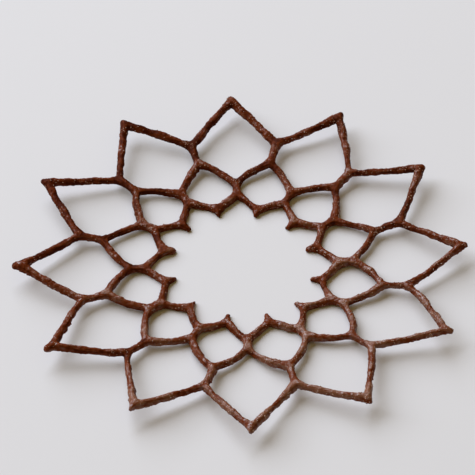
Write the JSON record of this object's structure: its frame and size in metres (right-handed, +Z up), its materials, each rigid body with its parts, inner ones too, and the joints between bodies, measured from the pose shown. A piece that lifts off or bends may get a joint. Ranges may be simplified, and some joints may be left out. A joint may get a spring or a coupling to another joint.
{
  "type": "tuile",
  "caption": "Lacy cocoa tuile: a thin open rosette of pointed petals round a star-shaped middle, baked as one brittle lattice with slightly raised tips.",
  "frame": {"origin": "middle of the bounding box in plan, on the plane that the inner ring's flat underside rests on", "axes": "+Z up, away from the surface it rests on; +Y towards one petal's apex"},
  "size_m": [0.12, 0.1195, 0.0055],
  "materials": {
    "cocoa_batter": "baked cocoa batter, matte with a faint waxy sheen"
  },
  "bodies": {
    "root": {"tuile": "cocoa_batter"}
  },
  "joints": []
}
